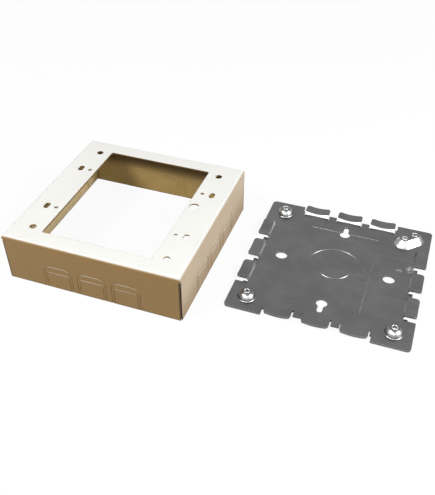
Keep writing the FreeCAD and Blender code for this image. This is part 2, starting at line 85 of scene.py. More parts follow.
class Wire:
    # One socket of a node tree; sums on it add Math nodes to that tree
    def __init__(self, socket):
        self.socket = socket
        self.tree = socket.id_data

    @staticmethod
    def make(tree, kind, settings=None, sockets=None):
        node = tree.nodes.new(kind)
        for name, value in (settings or {}).items():
            setattr(node, name, value)
        for key, value in (sockets or {}).items():
            if isinstance(value, Wire):
                tree.links.new(value.socket, node.inputs[key])
            else:
                node.inputs[key].default_value = value
        shown = [output for output in node.outputs if output.enabled]
        return Wire(shown[0]) if shown else node

    def pick(self, name):
        return Wire(self.socket.node.outputs[name])

    def sum(self, operation, first, second):
        return Wire.make(self.tree, "ShaderNodeMath", {"operation": operation}, {0: first, 1: second})

    def __add__(self, other):
        return self.sum("ADD", self, other)

    def __sub__(self, other):
        return self.sum("SUBTRACT", self, other)

    def __rsub__(self, other):
        return self.sum("SUBTRACT", other, self)

    def __mul__(self, other):
        return self.sum("MULTIPLY", self, other)

    __radd__ = __add__
    __rmul__ = __mul__

    def most(self, other):
        return self.sum("MAXIMUM", self, other)

    def least(self, other):
        return self.sum("MINIMUM", self, other)

    def size(self):
        return self.sum("ABSOLUTE", self, 0.0)

    # 0 at low, 1 at high, eased between
    def eased(self, low, high):
        sockets = {"Value": self, "From Min": low, "From Max": high}
        return Wire.make(self.tree, "ShaderNodeMapRange", {"interpolation_type": "SMOOTHSTEP"}, sockets)


def newMaterial(name):
    material = bpy.data.materials.new(name)
    material.use_nodes = True
    material.node_tree.nodes.clear()
    return material, material.node_tree


def finishMaterial(tree, sockets):
    shader = Wire.make(tree, "ShaderNodeBsdfPrincipled", None, sockets)
    Wire.make(tree, "ShaderNodeOutputMaterial", None, {"Surface": shader})


def spread(tree, coords, scale, turn=0.0):
    sockets = {"Vector": coords, "Scale": scale, "Rotation": (0.0, 0.0, turn)}
    return Wire.make(tree, "ShaderNodeMapping", None, sockets)


def noise(tree, vector, scale, detail=3.0, roughness=0.55):
    sockets = {"Vector": vector, "Scale": scale, "Detail": detail, "Roughness": roughness}
    return Wire.make(tree, "ShaderNodeTexNoise", {"noise_dimensions": "3D"}, sockets)


def mixColour(tree, share, first, second, blend="MIX"):
    settings = {"data_type": "RGBA", "blend_type": blend}
    return Wire.make(tree, "ShaderNodeMix", settings, {0: share, 6: first, 7: second}).pick(2)


def greyOf(tree, level):
    return Wire.make(tree, "ShaderNodeCombineColor", None, {0: level, 1: level, 2: level})


def bump(tree, height, distance, strength):
    sockets = {"Height": height, "Distance": distance, "Strength": strength}
    return Wire.make(tree, "ShaderNodeBump", None, sockets)


# Cream enamel, with painted light and shade in its tones: pale on the front face as painted light, darker
# and deeper on the walls and inside as painted shade
creamPaintAndShade = {
    # face is the front face's tone with painted light; wall is the walls' tone with painted shade
    "face": (0.81, 0.795, 0.745, 1.0),
    "wall": (0.348, 0.209, 0.071, 1.0),
    # the side walls paler than the front and back walls, and paler higher up: painted light and sheen
    "sideShadeLow": (0.30, 0.195, 0.09, 1.0),
    "sideSheenHigh": (0.48, 0.362, 0.228, 1.0),
    "sideSheenReach": (0.0 * mm, 24.0 * mm),     # heights between which the side walls pale: painted sheen and light, darker towards the foot as painted shade
    # inside tones are painted light and shade: the inner back wall tuned to its light, the inner side
    # walls paler as painted light through the opening
    "inside": (0.54, 0.36, 0.125, 1.0),
    "insideSideLit": (0.61, 0.455, 0.235, 1.0),
    "insideShadowHigh": (0.15, 0.085, 0.015, 1.0),    # painted shadow up under the fold
    "insideShadowReach": (14.0 * mm, 26.0 * mm),
    "bareAndShadow": (0.062, 0.034, 0.011, 1.0),     # cut edges in the seams and at the foot, hardly painted, with painted shadow in the seams and along the foot
    "bareShadowShare": 0.7,       # how far that painted shade shows on the walls beside those edges
    "rimTone": (0.50, 0.45, 0.36, 1.0),        # darker along the edge of the opening
    "rimShare": 0.6,
    "rimReach": (0.45 * mm, 0.1 * mm),     # from the edge of the opening
    "opening": (37.1 * mm, 48.3 * mm),
    "topTurn": (0.35, 0.98),        # Z of the normal, from wall to front face
    "underTurn": (-0.3, -0.8),      # the same from wall to the underside of the front face
    "sideTurn": (0.3, 0.7),         # X of the normal squared, from front wall to side wall
    "insideTurn": (-5.0 * mm, -25.0 * mm),      # place along the normal, from outside to inside
    "seamTop": (31.0 * mm, 30.5 * mm),
    "seamEdges": (56.9 * mm, 57.2 * mm),        # from the cover centre, both ways
    "seamBeside": (57.7 * mm, 58.3 * mm),
    "skin": (59.15 * mm, 59.35 * mm),           # outer faces of the walls
    "footReach": (0.7 * mm, 0.3 * mm),
    "drift": 0.05,          # share by which the colour wanders
    "driftScale": 38.0,
    "driftDetail": 4.0,
    "peelScale": 1500.0,    # orange peel, cells to the metre
    "peelDetail": 2.0,
    "peelDepth": 0.02 * mm,
    "peelStrength": 0.5,
    "rough": 0.4,
    "roughDrift": 0.12,
    "roughScale": 220.0,
    "roughInside": 0.3,     # more than outside
    "specular": 0.3,
}


def makeCreamPaintAndShade():
    values = creamPaintAndShade
    material, tree = newMaterial("creamPaintAndShade")
    texture = Wire.make(tree, "ShaderNodeTexCoord")
    coords = texture.pick("Object")
    facing = Wire.make(tree, "ShaderNodeSeparateXYZ", None, {0: texture.pick("Normal")})
    place = Wire.make(tree, "ShaderNodeSeparateXYZ", None, {0: coords})
    height = place.pick("Z")
    centreX, centreY = layout["coverCentre"]
    fromX, fromY = place.pick("X") - centreX, place.pick("Y") - centreY
    farther, nearer = fromX.size().most(fromY.size()), fromX.size().least(fromY.size())

    # painted light and shade: the front face pale as lit, the walls and inside darker as shaded
    upward = facing.pick("Z").eased(*values["topTurn"])
    outward = fromX * facing.pick("X") + fromY * facing.pick("Y")
    under = facing.pick("Z").eased(*values["underTurn"])
    inside = outward.eased(*values["insideTurn"]).most(under)
    across = (facing.pick("X") * facing.pick("X")).eased(*values["sideTurn"])
    # painted sheen and light on the side walls, graded by height
    paintedSideSheen = mixColour(tree, height.eased(*values["sideSheenReach"]), values["sideShadeLow"], values["sideSheenHigh"])
    outerShadeTone = mixColour(tree, across, values["wall"], paintedSideSheen)
    # painted shade inside, with a painted shadow up under the fold
    innerShadeTone = mixColour(tree, across, values["inside"], values["insideSideLit"])
    underFoldShadow = height.eased(*values["insideShadowReach"])
    innerShadeTone = mixColour(tree, underFoldShadow, innerShadeTone, values["insideShadowHigh"])
    colour = mixColour(tree, inside, outerShadeTone, innerShadeTone)
    colour = mixColour(tree, upward, colour, values["face"])

    # darker rim of the opening, then the cut edges
    halfX, halfY = values["opening"]
    rim = (fromX.size() - halfX).most(fromY.size() - halfY).eased(*values["rimReach"])
    colour = mixColour(tree, rim * upward * values["rimShare"], colour, values["rimTone"])
    # bare cut edges, with painted shadow beside the seams and along the foot
    cutEdges = nearer.eased(*values["seamEdges"]) * (1.0 - farther.eased(*values["skin"]))
    seamShade = cutEdges.most(nearer.eased(*values["seamBeside"]) * values["bareShadowShare"])
    foot = height.eased(*values["footReach"]) * values["bareShadowShare"]
    colour = mixColour(tree, (seamShade * height.eased(*values["seamTop"])).most(foot), colour, values["bareAndShadow"])

    wander = noise(tree, coords, values["driftScale"], values["driftDetail"])
    drift = wander * (values["drift"] * 2.0) + (1.0 - values["drift"])
    colour = mixColour(tree, 1.0, colour, greyOf(tree, drift), "MULTIPLY")
    smear = noise(tree, coords, values["roughScale"]) * values["roughDrift"]
    rough = smear + inside * values["roughInside"] + (values["rough"] - values["roughDrift"] / 2.0)
    peel = noise(tree, coords, values["peelScale"], values["peelDetail"])
    relief = bump(tree, peel, values["peelDepth"], values["peelStrength"])
    finishMaterial(tree, {"Base Color": colour, "Roughness": rough,
                          "Specular IOR Level": values["specular"], "Normal": relief})
    return material


# Zinc coated steel: rolled along X, faintly clouded, with a painted sheen on the slopes where the die
# drew it, and lighter patches near the right edge
zincSteelAndSheen = {
    "dull": (0.108, 0.108, 0.109, 1.0),
    "clean": (0.168, 0.168, 0.170, 1.0),
    "toneShares": (0.5, 0.35, 0.15),    # of cloud, grain and streak
    # painted sheen: the drawn slopes of bosses and tongues paler, so that they gleam
    "drawnSheen": (0.30, 0.30, 0.30, 1.0),
    "drawnTurn": (0.85, 0.65),      # Z of the normal, from flat to drawn
    "cutTurn": (0.2, 0.4),          # the same from cut edge to drawn
    # lighter, rougher patches near the right edge
    "patchTone": (0.42, 0.42, 0.42, 1.0),
    "patches": ((40.3 * mm, 10.6 * mm, 2.8 * mm), (47.7 * mm, 13.8 * mm, 4.8 * mm)),     # x, y, reach
    "patchCore": 0.3,       # share of the reach where the patch is strongest
    "patchScale": 700.0,
    "patchContrast": (0.4, 0.66),
    "cloudScale": 45.0,
    "cloudDetail": 5.0,
    "cloudRoughness": 0.6,
    "cloudContrast": (0.3, 0.72),
    "rollTurn": math.radians(4.0),
    "rollStretch": (0.03, 1.0, 1.0),
    "rollScale": 900.0,
    "rollDetail": 2.0,
    "rollDepth": 0.006 * mm,
    "rollStrength": 0.6,
    "streakScale": 220.0,
    "streakContrast": (0.55, 0.75),
    "pitScale": 2600.0,
    "pitDetail": 2.0,
    "heightShares": (0.7, 0.3, 2.0),    # of grain, pits and scuffs
    "rough": 0.26,
    "roughShares": (-0.06, 0.1, 0.25),  # of cloud, grain and scuffs
}


def patchMask(tree, coords, speckle):
    mask = None
    for x, y, reach in zincSteelAndSheen["patches"]:
        spot = {0: coords, 1: (x, y, layout["plateTop"])}
        away = Wire.make(tree, "ShaderNodeVectorMath", {"operation": "DISTANCE"}, spot).pick("Value")
        near = away.eased(reach, reach * zincSteelAndSheen["patchCore"]) * speckle
        mask = near if mask is None else mask.most(near)
    return mask


def makeZincSteelAndSheen():
    values = zincSteelAndSheen
    material, tree = newMaterial("zincSteelAndSheen")
    texture = Wire.make(tree, "ShaderNodeTexCoord")
    coords = texture.pick("Object")
    level = Wire.make(tree, "ShaderNodeSeparateXYZ", None, {0: texture.pick("Normal")}).pick("Z")
    drawn = level.eased(*values["drawnTurn"]) * level.eased(*values["cutTurn"])
    rolled = spread(tree, coords, values["rollStretch"], values["rollTurn"])
    cloud = noise(tree, coords, values["cloudScale"], values["cloudDetail"], values["cloudRoughness"])
    cloud = cloud.eased(*values["cloudContrast"])
    grain = noise(tree, rolled, values["rollScale"], values["rollDetail"])
    streak = noise(tree, rolled, values["streakScale"]).eased(*values["streakContrast"])
    pits = noise(tree, coords, values["pitScale"], values["pitDetail"])
    speckle = noise(tree, coords, values["patchScale"]).eased(*values["patchContrast"])
    patch = patchMask(tree, coords, speckle)
    ofCloud, ofGrain, ofStreak = values["toneShares"]
    share = cloud * ofCloud + grain * ofGrain + streak * ofStreak
    colour = mixColour(tree, share, values["dull"], values["clean"])
    # painted sheen on the drawn slopes
    colour = mixColour(tree, drawn, colour, values["drawnSheen"])
    colour = mixColour(tree, patch, colour, values["patchTone"])
    ofCloud, ofGrain, ofPatch = values["roughShares"]
    rough = cloud * ofCloud + grain * ofGrain + patch * ofPatch + values["rough"]
    ofGrain, ofPits, ofPatch = values["heightShares"]
    height = grain * ofGrain + pits * ofPits + patch * ofPatch
    relief = bump(tree, height, values["rollDepth"], values["rollStrength"])
    finishMaterial(tree, {"Base Color": colour, "Roughness": rough, "Metallic": 1.0, "Normal": relief})
    return material


# Steel bared by the tap round each boss hole, its brightness partly bare steel and partly a painted
# highlight ring
baredSteelGleam = {
    "low": (0.42, 0.42, 0.42, 1.0),
    "high": (0.66, 0.66, 0.66, 1.0),
    "contrast": (0.3, 0.7),
    "turnStretch": (0.4, 0.4, 2.0),
    "turnScale": 1400.0,
    "turnDetail": 2.0,
    "turnDepth": 0.004 * mm,
    "turnStrength": 0.5,
    "rough": 0.3,
    "roughDrift": 0.12,
}


def makeBaredSteelGleam():
    values = baredSteelGleam
    material, tree = newMaterial("baredSteelGleam")
    coords = Wire.make(tree, "ShaderNodeTexCoord").pick("Object")
    drawnOut = spread(tree, coords, values["turnStretch"])
    turning = noise(tree, drawnOut, values["turnScale"], values["turnDetail"])
    colour = mixColour(tree, turning.eased(*values["contrast"]), values["low"], values["high"])
    rough = turning * values["roughDrift"] + (values["rough"] - values["roughDrift"] / 2.0)
    relief = bump(tree, turning, values["turnDepth"], values["turnStrength"])
    finishMaterial(tree, {"Base Color": colour, "Roughness": rough, "Metallic": 1.0, "Normal": relief})
    return material


paint = makeCreamPaintAndShade()
steel = makeZincSteelAndSheen()
baredGleam = makeBaredSteelGleam()
print("finishes made")


def addPiece(name, mesh, material):
    mesh.name = name
    mesh.materials.clear()
    mesh.materials.append(material)
    piece = bpy.data.objects.new(name, mesh)
    scene.collection.objects.link(piece)
    return piece


# The evaluated shape as a plain mesh, with no modifier left on the piece
def settle(piece):
    bpy.context.view_layer.update()
    shown = piece.evaluated_get(bpy.context.evaluated_depsgraph_get())
    mesh = bpy.data.meshes.new_from_object(shown)
    piece.modifiers.clear()
    piece.data = mesh
    mesh.name = piece.name


# Sheet pieces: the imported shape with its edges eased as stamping, bending and paint leave them
sheetEdges = {
    "mergeDistance": 0.012 * mm,
    "flatAngle": math.radians(0.4),
    "softAngle": math.radians(22.0),    # sharper than this gets an ease
    "bendAngle": math.radians(78.0),    # sharper than this is a cut edge
    "steelCut": 0.05 * mm,      # width of each ease
    "steelBend": 0.42 * mm,
    "bossFoot": 0.5 * mm,
    "steelNicked": 0.02 * mm,   # round the knockouts
    "paintCut": 0.16 * mm,
    "scoreLip": 0.10 * mm,
    "wallMiddle": 58.9 * mm,    # from the cover centre to the middle of its sheet
    "knockouts": (23.4 * mm, 36.7 * mm),    # half the field that they fill
    "bossReach": 9.0 * mm,
    "footSlack": 0.05 * mm,
    "uprightRun": 0.95,         # Z of an edge that runs through the sheet
    "steps": 2,
    "flatWeight": 100,
}


def byBoss(point):
    return any((point.xy - Vector(spot)).length < sheetEdges["bossReach"] for spot in layout["bossSpots"])


def steelEase(edge):
    middle = (edge.verts[0].co + edge.verts[1].co) / 2.0
    run = (edge.verts[0].co - edge.verts[1].co).normalized()
    halfX, halfY = sheetEdges["knockouts"]
    onTop = abs(middle.z - layout["plateTop"]) < sheetEdges["footSlack"]
    if abs(run.z) > sheetEdges["uprightRun"] and not edge.is_convex:
        return 0.0      # inside corners of the slits stay square
    if abs(middle.x) < halfX and abs(middle.y) < halfY:
        return sheetEdges["steelNicked"]
    if not edge.is_convex and byBoss(middle) and onTop:
        return sheetEdges["bossFoot"]
    bent = edge.calc_face_angle(0.0) < sheetEdges["bendAngle"]
    return sheetEdges["steelBend"] if bent else sheetEdges["steelCut"]


def paintEase(edge):
    return sheetEdges["paintCut"] if edge.is_convex else 0.0


def scoreEase(edge):
    middle = (edge.verts[0].co + edge.verts[1].co) / 2.0 - Vector((*layout["coverCentre"], 0.0))
    outer = max(abs(middle.x), abs(middle.y)) > sheetEdges["wallMiddle"]
    return sheetEdges["scoreLip"] if outer and edge.is_convex else 0.0


# A tongue's slope runs from a straight root to a curled end: even strips across shade it as one bend
joggle = {
    "root": 48.3 * mm,      # from the plate's centre to the foot of the slope
    "rise": 49.5 * mm,
    "reach": 8.4 * mm,      # half the tongue
    "slack": 0.02 * mm,
    "tilt": (0.2, 0.95),    # Z of the normal on a slope
}


def layStrips(build, faces, turned):
    def at(vertex):
        return turned @ vertex.co

    corners = sorted({vertex for face in faces for vertex in face.verts}, key=lambda vertex: at(vertex).x)
    upward = faces[0].normal.z > 0.0
    root = [vertex for vertex in corners if at(vertex).y < joggle["root"] + joggle["slack"]]
    curl = [vertex for vertex in corners if at(vertex).y > joggle["rise"] - joggle["slack"]]
    bmesh.ops.delete(build, geom=faces, context="FACES_KEEP_BOUNDARY")
    kept = set(root + curl)
    spare = [vertex for vertex in corners if vertex.is_valid and vertex not in kept]
    bmesh.ops.dissolve_verts(build, verts=root[1:-1] + spare)
    first, last = root[0], root[-1]
    edge, root = build.edges.get((first, last)), [first]
    for vertex in curl[1:-1]:
        start = at(root[-1]).x
        share = (at(vertex).x - start) / (at(last).x - start)
        root.append(bmesh.utils.edge_split(edge, root[-1], share)[1])
    root.append(last)
    for place in range(len(root) - 1):
        strip = [root[place], root[place + 1], curl[place + 1], curl[place]]
        build.faces.new(strip if upward else strip[::-1])


def evenJoggles(build):
    slack = joggle["slack"]
    least, most = joggle["tilt"]
    for turn in layout["walls"].values():
        turned = Matrix.Rotation(math.radians(turn), 3, "Z")
        for number in (-1.0, 0.0, 1.0):
            middle = layout["racewayPitch"] * number

            def onSlope(vertex):
                place = turned @ vertex.co
                within = joggle["root"] - slack < place.y < joggle["rise"] + slack
                return within and abs(place.x - middle) < joggle["reach"] + slack

            slope = [face for face in build.faces if all(onSlope(vertex) for vertex in face.verts)]
            above = [face for face in slope if least < face.normal.z < most]
            under = [face for face in slope if least < -face.normal.z < most]
            layStrips(build, above, turned)
            layStrips(build, under, turned)


def dress(nodeName, material, easeOf):
    build = bmesh.new()
    build.from_mesh(nodes[nodeName].data)
    bmesh.ops.remove_doubles(build, verts=build.verts, dist=sheetEdges["mergeDistance"])
    bmesh.ops.dissolve_limit(build, angle_limit=sheetEdges["flatAngle"], use_dissolve_boundaries=False,
                             verts=build.verts, edges=build.edges, delimit={"NORMAL"})
    if nodeName == "base_plate":
        evenJoggles(build)
        build.normal_update()
    weights = build.edges.layers.float.new("bevel_weight_edge")
    widest = max(sheetEdges["bossFoot"], sheetEdges["steelBend"])
    for edge in build.edges:
        if edge.is_manifold and edge.calc_face_angle(0.0) > sheetEdges["softAngle"]:
            edge[weights] = easeOf(edge) / widest
    for face in build.faces:
        face.smooth = True
        face.material_index = 0
    mesh = bpy.data.meshes.new(nodeName)
    build.to_mesh(mesh)
    build.free()
    piece = addPiece(f"{nodeName}_finished", mesh, material)
    ease = piece.modifiers.new("ease", "BEVEL")
    ease.limit_method = "WEIGHT"
    ease.width = widest
    ease.segments = sheetEdges["steps"]
    ease.use_clamp_overlap = False
    ease.loop_slide = False
    ease.miter_outer = "MITER_ARC"
    even = piece.modifiers.new("even", "WEIGHTED_NORMAL")
    even.mode = "FACE_AREA"
    even.weight = sheetEdges["flatWeight"]
    settle(piece)
    low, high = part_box(nodeName)
    for vertex in piece.data.vertices:     # an ease never stands proud of the sheet
        vertex.co = [min(max(value, least), most) for value, least, most in zip(vertex.co, low, high)]
    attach(piece, nodes[nodeName]["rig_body"])
    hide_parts(nodeName)


for nodeName in nodes:
    if nodeName.startswith("base_"):
        dress(nodeName, steel, steelEase)
    elif nodeName == "cover_shell":
        dress(nodeName, paint, paintEase)
    else:
        dress(nodeName, paint, scoreEase)
print("sheet pieces eased")


# Geometry Nodes: a tree with named inputs, ending in real faces with their finish
def newTree(name, inputs):
    tree = bpy.data.node_groups.new(name, "GeometryNodeTree")
    tree.interface.new_socket("Geometry", in_out="INPUT", socket_type="NodeSocketGeometry")
    for label, kind in {**inputs, "Finish": "Material"}.items():
        tree.interface.new_socket(label, in_out="INPUT", socket_type=f"NodeSocket{kind}")
    tree.interface.new_socket("Geometry", in_out="OUTPUT", socket_type="NodeSocketGeometry")
    return tree, Wire.make(tree, "NodeGroupInput")


def closeTree(tree, given, shape, rounded=True):
    real = Wire.make(tree, "GeometryNodeRealizeInstances", None, {"Geometry": shape})
    shading = {"Geometry": real, "Shade Smooth": rounded}
    smooth = Wire.make(tree, "GeometryNodeSetShadeSmooth", None, shading)
    finish = {"Geometry": smooth, "Material": given.pick("Finish")}
    painted = Wire.make(tree, "GeometryNodeSetMaterial", None, finish)
    Wire.make(tree, "NodeGroupOutput", None, {"Geometry": painted})
    return tree


def pathOf(tree, given):
    return Wire.make(tree, "GeometryNodeMeshToCurve", None, {"Mesh": given.pick("Geometry")})


def roundLine(tree, steps, radius):
    sockets = {"Resolution": steps, "Radius": radius}
    return Wire.make(tree, "GeometryNodeCurvePrimitiveCircle", {"mode": "RADIUS"}, sockets)


def sweep(tree, line, section):
    sockets = {"Curve": line, "Profile Curve": section, "Fill Caps": True}
    return Wire.make(tree, "GeometryNodeCurveToMesh", None, sockets)


def atSpots(tree, given, shape):
    spots = Wire.make(tree, "GeometryNodeMeshToPoints", None, {"Mesh": given.pick("Geometry")})
    return Wire.make(tree, "GeometryNodeInstanceOnPoints", None, {"Points": spots, "Instance": shape})


def grow(name, host, tree, values, body):
    piece = addPiece(name, host, values["Finish"])
    modifier = piece.modifiers.new("grow", "NODES")
    modifier.node_group = tree
    for item in tree.interface.items_tree:
        if item.in_out == "INPUT" and item.name in values:
            modifier[item.identifier] = values[item.name]
    settle(piece)
    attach(piece, body)


def pathMesh(lines, closed=False):
    mesh = bpy.data.meshes.new("path")
    points, edges = [], []
    for line in lines:
        first = len(points)
        points.extend(line)
        edges.extend((first + step, first + step + 1) for step in range(len(line) - 1))
        if closed:
            edges.append((len(points) - 1, first))
    mesh.from_pydata(points, edges, [])
    return mesh


def spotMesh(spots):
    mesh = bpy.data.meshes.new("spots")
    mesh.from_pydata(spots, [], [])
    return mesh


# Score webs: the thin skin left at the bottom of each score line, until it is struck out
scoreWebs = {
    "radius": 0.165 * mm,
    "sides": 8,
    "wallDepth": 0.36 * mm,     # web centre below the painted face
    "fillDepth": 0.95 * mm,     # middle of the fill that lies flush inside
    "fillAcross": 0.34 * mm,
    "fillThick": 0.48 * mm,
    "outerHalf": 9.675 * mm,    # middle of the cut round an outer twist-out
    "outerTop": 17.175 * mm,
    "shoulder": 5.675 * mm,
    "shoulderSteps": 8,
    "innerHalf": 7.975 * mm,
    "innerTop": 12.575 * mm,
    "foot": 0.2 * mm,
    "plateWidth": 0.33 * mm,
    "plateThick": 0.2 * mm,
    "plateSink": 0.01 * mm,     # web's higher side below the plate's face
    "panelRise": 0.30 * mm,     # plate edge over panel edge, where the panel was pressed
    "flushRise": 0.01 * mm,
    "ringRise": 0.26 * mm,      # panel and disc edges over the lowered ring
    "panelHalf": (23.175 * mm, 36.475 * mm),
    "panelStart": 3.5 * mm,     # the keyholes interrupt the panel's line
    "ringRadius": 17.625 * mm,
    "discRadius": 11.275 * mm,
    "roundSteps": 72,
    "tieHalf": 14.0,            # degrees either side of the ring's bend
    "tieDrop": 0.36 * mm,       # the web there lies level with the ring, clear of it when it bends
}


def makeWebTree():
    tree, given = newTree("scoreWeb", {"Radius": "Float", "Sides": "Int"})
    section = roundLine(tree, given.pick("Sides"), given.pick("Radius"))
    return closeTree(tree, given, sweep(tree, pathOf(tree, given), section))


# A square-cut fill; its section's width stands along X on every wall
def makeFillTree():
    tree, given = newTree("scoreFill", {"Width": "Float", "Height": "Float"})
    section = Wire.make(tree, "GeometryNodeCurvePrimitiveQuadrilateral", {"mode": "RECTANGLE"},
                        {"Width": given.pick("Width"), "Height": given.pick("Height")})
    return closeTree(tree, given, sweep(tree, pathOf(tree, given), section), rounded=False)


# A sloped strip under its path: its section falls from the path's left side to its right side
def makeStripTree():
    tree, given = newTree("scoreStrip", {"Half": "Float", "Rise": "Float", "Thick": "Float"})
    line = pathOf(tree, given)
    level = Wire.make(tree, "GeometryNodeSetCurveNormal", {"mode": "Z_UP"}, {"Curve": line})
    half, rise, thick = given.pick("Half"), given.pick("Rise"), given.pick("Thick")
    left = -1.0 * half
    corners = ((left, 0.0), (half, rise), (half, rise + thick), (left, thick))  # here Y points down
    points = [Wire.make(tree, "ShaderNodeCombineXYZ", None, {"X": x, "Y": y}) for x, y in corners]
    section = Wire.make(tree, "GeometryNodeCurvePrimitiveQuadrilateral", {"mode": "POINTS"},
                        {f"Point {number}": point for number, point in enumerate(points, start=1)})
    return closeTree(tree, given, sweep(tree, level, section), rounded=False)


def onWall(turn, along, height, depth):
    angle = math.radians(turn)
    x, y = along, depth - layout["coverHalf"]
    centreX, centreY = layout["coverCentre"]
    return (centreX + x * math.cos(angle) - y * math.sin(angle),
            centreY + x * math.sin(angle) + y * math.cos(angle), height)


def outerLine(turn, middle, depth):
    values = scoreWebs
    half, top, bend = values["outerHalf"], values["outerTop"], values["shoulder"]
    flat = [(-half, values["foot"])]
    for step in range(values["shoulderSteps"] + 1):
        angle = math.pi / 2.0 * step / values["shoulderSteps"]
        flat.append((bend - half - bend * math.cos(angle), top - bend + bend * math.sin(angle)))
    flat += [(-along, height) for along, height in reversed(flat)]
    return [onWall(turn, middle + along, height, depth) for along, height in flat]


def innerLine(turn, middle, depth):
    values = scoreWebs
    half, top, foot = values["innerHalf"], values["innerTop"], values["foot"]
    flat = [(-half, foot), (-half, top), (half, top), (half, foot)]
    return [onWall(turn, middle + along, height, depth) for along, height in flat]


def arcLine(radius, height, start, span):
    steps = round(scoreWebs["roundSteps"] * span / 360.0)
    turns = [math.radians(start + span * step / steps) for step in range(steps + 1)]
    return [(radius * math.cos(turn), radius * math.sin(turn), height) for turn in turns]


def makeWallWebs():
    values = scoreWebs
    webTree, fillTree = makeWebTree(), makeFillTree()
    web = {"Radius": values["radius"], "Sides": values["sides"], "Finish": paint}
    webDepth, fillDepth = values["wallDepth"], values["fillDepth"]
    across, thick = values["fillAcross"], values["fillThick"]
    coverBody = nodes["cover_shell"]["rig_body"]
    outerWebs = []
    for wall, turn in layout["walls"].items():
        width, height = (across, thick) if wall in ("front", "back") else (thick, across)
        fill = {"Width": width, "Height": height, "Finish": paint}
        outerFills = []
        for number in (1, 2, 3):
            middle = layout["racewayPitch"] * (number - 2)
            arch = f"twistout_{wall}_{number}_arch"
            archBody = nodes[arch]["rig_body"]
            outerWebs.append(outerLine(turn, middle, webDepth))
            outerFills.append(outerLine(turn, middle, fillDepth))
            innerWeb = pathMesh([innerLine(turn, middle, webDepth)])
            innerFill = pathMesh([innerLine(turn, middle, fillDepth)])
            grow(f"{arch}_web", innerWeb, webTree, web, archBody)
            grow(f"{arch}_fill", innerFill, fillTree, fill, archBody)
        grow(f"cover_{wall}_fills", pathMesh(outerFills), fillTree, fill, coverBody)
    grow("cover_score_webs", pathMesh(outerWebs), webTree, web, coverBody)


def makePlateWebs():
    values = scoreWebs
    tree = makeStripTree()
    strip = {"Half": values["plateWidth"] / 2.0, "Thick": values["plateThick"], "Finish": steel}
    flush = {**strip, "Rise": values["flushRise"]}
    pressed = {**strip, "Rise": values["panelRise"]}
    sloped = {**strip, "Rise": values["ringRise"]}
    plateBody = nodes["base_plate"]["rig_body"]
    panelBody = nodes["base_knockout_panel"]["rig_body"]
    ringBody = nodes["base_knockout_ring"]["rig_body"]
    level = layout["plateTop"] - values["plateSink"]
    halfX, halfY = values["panelHalf"]
    start, tie = values["panelStart"], values["tieHalf"]
    farLines = [[(start, halfY, level), (halfX, halfY, level)],
                [(-halfX, halfY, level), (-start, halfY, level)]]
    sideLines = [[(halfX, halfY, level), (halfX, -halfY, level), (start, -halfY, level)],
                 [(-start, -halfY, level), (-halfX, -halfY, level), (-halfX, halfY, level)]]
    ringLine = arcLine(values["ringRadius"], level, tie, 360.0 - tie * 2.0)[::-1]
    tieLine = arcLine(values["ringRadius"], level - values["tieDrop"], -tie, tie * 2.0)[::-1]
    discLine = arcLine(values["discRadius"], level, 0.0, 360.0)[:-1]
    grow("panel_far_web", pathMesh(farLines), tree, pressed, plateBody)
    grow("panel_side_webs", pathMesh(sideLines), tree, flush, plateBody)
    grow("ring_score_web", pathMesh([ringLine]), tree, sloped, panelBody)
    grow("ring_tie_web", pathMesh([tieLine]), tree, flush, panelBody)
    grow("disc_score_web", pathMesh([discLine], closed=True), tree, sloped, ringBody)


makeWallWebs()
makePlateWebs()
print("score webs made")


# Tapped threads in the bosses and device holes, and the rolled lip round each boss hole
threads = {
    "pitch": 0.79 * mm,
    "ridge": 0.16 * mm,
    "ridgeSides": 4,
    "turnSteps": 28,
    "bossRadius": 1.4 * mm,
    "bossDepth": 1.3 * mm,
    "deviceRadius": 1.25 * mm,
    "deviceDepth": 1.1 * mm,
    "deviceSpots": (41.67 * mm, 23.02 * mm),    # from the cover centre, both ways
    "lipRadius": 1.68 * mm,
    "lipThick": 0.27 * mm,
    "lipSteps": 40,
    "lipSides": 12,
}


def makeThreadTree():
    tree, given = newTree("tappedThread", {"Radius": "Float", "Ridge": "Float", "Turns": "Float",
                                           "Depth": "Float"})
    radius = given.pick("Radius")
    helix = Wire.make(tree, "GeometryNodeCurveSpiral", None,
                      {"Resolution": threads["turnSteps"], "Rotations": given.pick("Turns"),
                       "Start Radius": radius, "End Radius": radius, "Height": given.pick("Depth"),
                       "Reverse": False})
    section = roundLine(tree, threads["ridgeSides"], given.pick("Ridge"))
    return closeTree(tree, given, atSpots(tree, given, sweep(tree, helix, section)))


def makeLipTree():
    tree, given = newTree("holeLip", {"Radius": "Float", "Thick": "Float"})
    ring = roundLine(tree, threads["lipSteps"], given.pick("Radius"))
    section = roundLine(tree, threads["lipSides"], given.pick("Thick"))
    return closeTree(tree, given, atSpots(tree, given, sweep(tree, ring, section)))


def threadShape(radius, depth):
    ridge, pitch = threads["ridge"], threads["pitch"]
    return {"Radius": radius, "Ridge": ridge, "Depth": depth - ridge, "Turns": depth / pitch,
            "Finish": steel}


